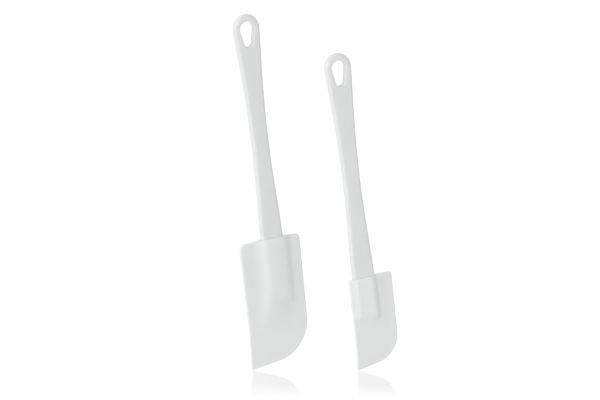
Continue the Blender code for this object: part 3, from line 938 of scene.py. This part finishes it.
def make_handle(name, place, material, collection):
    """One handle: its bar, joined with the ribbed tang and cut by the eye."""
    handle = handle_body(f"{name}_spatula_handle", collection)
    eye = eye_cutter(collection)
    joined = [tang(collection), *grip_ribs(collection)]
    for piece in joined:
        boolean(handle, piece, "UNION")
    boolean(handle, eye, "DIFFERENCE")
    apply_booleans(handle, [eye, *joined])
    handle.location = place
    dress(handle, f"{name}_handle", material)


def make_head(name, head, place, material, collection):
    """One head, with the pocket that its handle's foot and tang sit in."""
    made = head_body(f"{name}_spatula_head", head, collection)
    pocket = pocket_cutter(collection)
    boolean(made, pocket, "DIFFERENCE")
    apply_booleans(made, [pocket])
    made.location = place + Vector((0.0, 0.0, LIP_Z))
    dress(made, f"{name}_head", material)
    return made


def direction(azimuth, elevation):
    """Unit vector from the object towards a place: azimuth 0 is in front of it, at -Y."""
    flat = cos(elevation)
    return Vector((sin(azimuth) * flat, -cos(azimuth) * flat, sin(elevation)))


def make_camera():
    """The photograph's view: a long lens, rolled, so the upright spatulas lean to the left."""
    data = bpy.data.cameras.new("camera")
    data.lens = LENS
    data.sensor_width = SENSOR
    camera = bpy.data.objects.new("camera", data)
    bpy.context.scene.collection.objects.link(camera)
    back = direction(VIEW_AZIMUTH, VIEW_ELEVATION)
    distance = PHOTO_WIDTH * PIXEL * LENS / SENSOR
    camera.location = VIEW_CENTRE + back * distance
    upright = (-back).to_track_quat("-Z", "Y")
    camera.rotation_mode = "QUATERNION"
    camera.rotation_quaternion = upright @ Quaternion((0.0, 0.0, 1.0), -VIEW_ROLL)
    data.clip_end = SIGHT_REACH * distance
    bpy.context.scene.camera = camera


def light_level(tree):
    """The studio's own light by direction: even, and dimmer round one side."""
    places = tree.nodes.new("ShaderNodeTexCoord")
    aside = tree.nodes.new("ShaderNodeVectorMath")
    aside.operation = "DOT_PRODUCT"
    aside.inputs[1].default_value = direction(DIM_AZIMUTH, 0.0)
    tree.links.new(places.outputs["Generated"], aside.inputs[0])
    span = (cos(DIM_FROM), cos(DIM_TO))
    ends = (STUDIO_LEVEL, STUDIO_LEVEL * (1 - DIM_SHARE))
    level = ranged(tree, aside.outputs["Value"], span, ends)
    level.node.interpolation_type = "SMOOTHSTEP"
    return level


def seen_rays(tree):
    """1 for a look that is straight, mirrored or let through, 0 for light on the object."""
    rays = tree.nodes.new("ShaderNodeLightPath")
    seen = rays.outputs["Is Camera Ray"]
    for kind in ("Is Glossy Ray", "Is Transmission Ray"):
        seen = combined(tree, "MAXIMUM", seen, rays.outputs[kind])
    return seen


def make_world():
    """White where it is seen or mirrored, and a lower light on the object."""
    world = bpy.data.worlds.new("studio")
    world.use_nodes = True
    bpy.context.scene.world = world
    tree = world.node_tree
    strength = ranged(tree, seen_rays(tree), (0.0, 1.0), (STUDIO_LEVEL, 1.0))
    tree.links.new(light_level(tree), strength.node.inputs["To Min"])
    background = tree.nodes["Background"]
    background.inputs["Color"].default_value = (1.0, 1.0, 1.0, 1.0)
    tree.links.new(strength, background.inputs["Strength"])


def make_key():
    """The key lamp: a sun, wide enough to be soft."""
    data = bpy.data.lights.new("key", "SUN")
    data.energy = KEY_STRENGTH
    data.angle = KEY_WIDTH
    key = bpy.data.objects.new("key", data)
    bpy.context.scene.collection.objects.link(key)
    key.rotation_mode = "QUATERNION"
    key.rotation_quaternion = direction(KEY_AZIMUTH, KEY_ELEVATION).to_track_quat("Z", "Y")


def fading(tree, place, middle, full, end):
    """Falls from 1 to 0 between two distances from a middle."""
    aside = tree.nodes.new("ShaderNodeMath")
    aside.operation = "SUBTRACT"
    aside.inputs[1].default_value = middle
    tree.links.new(place, aside.inputs[0])
    distance = tree.nodes.new("ShaderNodeMath")
    distance.operation = "ABSOLUTE"
    tree.links.new(aside.outputs[0], distance.inputs[0])
    return ranged(tree, distance.outputs[0], (full, end), (1.0, 0.0))


def mirror_share(tree):
    """How much a sheet mirrors: for the viewer's low look from above, most by the tip."""
    places = tree.nodes.new("ShaderNodeTexCoord")
    parts = tree.nodes.new("ShaderNodeSeparateXYZ")
    tree.links.new(places.outputs["Object"], parts.inputs["Vector"])
    half_widths = (MIRROR_FULL_WIDTH / 2, MIRROR_WIDTH / 2)
    sideways = fading(tree, parts.outputs["X"], MIRROR_MIDDLE, *half_widths)
    away = fading(tree, parts.outputs["Y"], 0.0, MIRROR_FULL_REACH, MIRROR_REACH)
    from_below = tree.nodes.new("ShaderNodeNewGeometry").outputs["Backfacing"]
    share = ranged(tree, from_below, (0.0, 1.0), (MIRROR_SHARE, 0.0))
    facing = tree.nodes.new("ShaderNodeLayerWeight").outputs["Facing"]
    low = ranged(tree, facing, (MIRROR_STEEP_LOOK, MIRROR_LOW_LOOK), (0.0, 1.0))
    viewer = tree.nodes.new("ShaderNodeLightPath").outputs["Is Camera Ray"]
    for factor in (viewer, low, sideways, away):
        share = combined(tree, "MULTIPLY", share, factor)
    return share


def bare_material(name):
    """A material with nothing but its output, and its surface socket."""
    material = bpy.data.materials.new(name)
    material.use_nodes = True
    material.node_tree.nodes.clear()
    output = material.node_tree.nodes.new("ShaderNodeOutputMaterial")
    return material, output.inputs["Surface"]


def sheet_material():
    """Clear to all light, with a mirror image of the tips for the viewer."""
    material, surface = bare_material("gloss_sheet")
    tree = material.node_tree
    clear = tree.nodes.new("ShaderNodeBsdfTransparent")
    mirror = tree.nodes.new("ShaderNodeBsdfGlossy")
    mirror.inputs["Color"].default_value = (1.0, 1.0, 1.0, 1.0)
    mirror.inputs["Roughness"].default_value = SHEET_ROUGHNESS
    both = tree.nodes.new("ShaderNodeMixShader")
    tree.links.new(mirror_share(tree), both.inputs["Fac"])
    tree.links.new(clear.outputs[0], both.inputs[1])
    tree.links.new(mirror.outputs[0], both.inputs[2])
    tree.links.new(both.outputs[0], surface)
    return material


def board_material():
    """Pale and matt: it adds up to white and keeps the shadow."""
    material, surface = bare_material("floor_board")
    tree = material.node_tree
    matt = tree.nodes.new("ShaderNodeBsdfDiffuse")
    matt.inputs["Color"].default_value = (*FLOOR_COLOUR, 1.0)
    glow = tree.nodes.new("ShaderNodeEmission")
    lift = ranged(tree, seen_rays(tree), (0.0, 1.0), (0.0, FLOOR_LIFT))
    tree.links.new(lift, glow.inputs["Strength"])
    both = tree.nodes.new("ShaderNodeAddShader")
    tree.links.new(matt.outputs[0], both.inputs[0])
    tree.links.new(glow.outputs[0], both.inputs[1])
    tree.links.new(both.outputs[0], surface)
    return material


def flat_stage(name, size, material):
    """A flat square of the stage, level and at the origin."""
    bm = bmesh.new()
    bmesh.ops.create_grid(bm, x_segments=1, y_segments=1, size=size / 2)
    mesh = bpy.data.meshes.new(name)
    bm.to_mesh(mesh)
    bm.free()
    mesh.materials.append(material)
    flat = bpy.data.objects.new(name, mesh)
    bpy.context.scene.collection.objects.link(flat)
    return flat


def make_board(level):
    """The floor's board, at a height."""
    board = flat_stage("floor_board", FLOOR_SIZE, board_material())
    board.location = (0.0, 0.0, level)


def make_sheet(name, head, material):
    """A sheet just under a head, its X to the right in the picture and turned as the picture is."""
    sheet = flat_stage(name, SHEET_SIZE, material)
    back = direction(VIEW_AZIMUTH, VIEW_ELEVATION)
    facing = Quaternion((0.0, 0.0, 1.0), VIEW_AZIMUTH) @ Quaternion((1.0, 0.0, 0.0), SHEET_TILT)
    turn = Quaternion(back, -VIEW_ROLL) @ facing
    up = turn @ Vector((0.0, 0.0, 1.0))
    tip = min((vertex.co for vertex in head.data.vertices), key=up.dot)
    sheet.rotation_mode = "QUATERNION"
    sheet.rotation_quaternion = turn
    sheet.location = head.location + tip - up * SHEET_GAP


def make_spatulas():
    """Both spatulas, each over its own glossy sheet."""
    collection = bpy.context.scene.collection
    plastic = moulded(HANDLE_PLASTIC)
    rubber = moulded(HEAD_RUBBER)
    gloss = sheet_material()
    tips_level = SMALL_LENGTH - LARGE_LENGTH
    large_place = Vector((0.0, 0.0, 0.0))
    small_place = Vector((SMALL_ASIDE, -SMALL_FORWARD, tips_level))
    for name, head, place in (
        ("large", LARGE_HEAD, large_place),
        ("small", SMALL_HEAD, small_place),
    ):
        make_handle(name, place, plastic, collection)
        made = make_head(name, head, place, rubber, collection)
        make_sheet(f"{name}_gloss_sheet", made, gloss)


def main():
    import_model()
    solid_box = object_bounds()
    make_spatulas()
    make_board(solid_box[0].z - PULL_ROOM)
    make_world()
    make_key()
    make_camera()
    bpy.context.scene.view_settings.view_transform = "Standard"


main()
